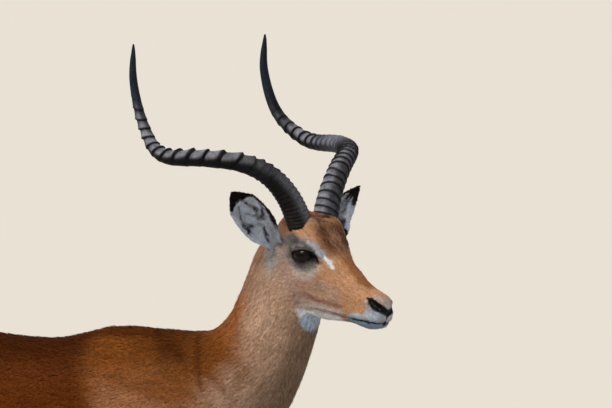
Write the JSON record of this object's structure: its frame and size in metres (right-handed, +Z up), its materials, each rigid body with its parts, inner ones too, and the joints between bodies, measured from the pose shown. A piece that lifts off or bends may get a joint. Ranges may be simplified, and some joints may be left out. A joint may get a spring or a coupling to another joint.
{
  "type": "impala antelope",
  "caption": "Life-size still model of an adult male impala standing alert, with lyre-shaped ringed horns, large ears and slender cloven feet.",
  "frame": {"origin": "on the floor, under the middle of the whole outline", "axes": "+Z up, +X the way the body faces, +Y the animal's left"},
  "size_m": [1.1808, 0.39, 1.394],
  "materials": {
    "coat_face": "very short tan hair with white marks",
    "coat_neck": "short pinkish-tan hair",
    "coat_trunk": "short glossy red-brown hair, lighter flank, white belly",
    "coat_tail": "longer hair, white edge and tip, black line",
    "coat_leg": "very short tan hair",
    "coat_ear": "short hair, black tip, white hair inside",
    "eye": "dark glossy eye",
    "horn": "ringed slate-grey horn",
    "claw": "black hoof horn, satin"
  },
  "bodies": {
    "root": {"head": "coat_face", "neck": "coat_neck", "trunk": "coat_trunk", "tail": "coat_tail", "leg_fore_right": "coat_leg", "leg_fore_left": "coat_leg", "leg_hind_right": "coat_leg", "leg_hind_left": "coat_leg", "ear_right": "coat_ear", "ear_left": "coat_ear", "eye_right": "eye", "eye_left": "eye", "horn_right": "horn", "horn_left": "horn", "claw_fore_right_inner": "claw", "claw_fore_right_outer": "claw", "claw_fore_left_inner": "claw", "claw_fore_left_outer": "claw", "claw_hind_right_inner": "claw", "claw_hind_right_outer": "claw", "claw_hind_left_inner": "claw", "claw_hind_left_outer": "claw"}
  },
  "joints": []
}
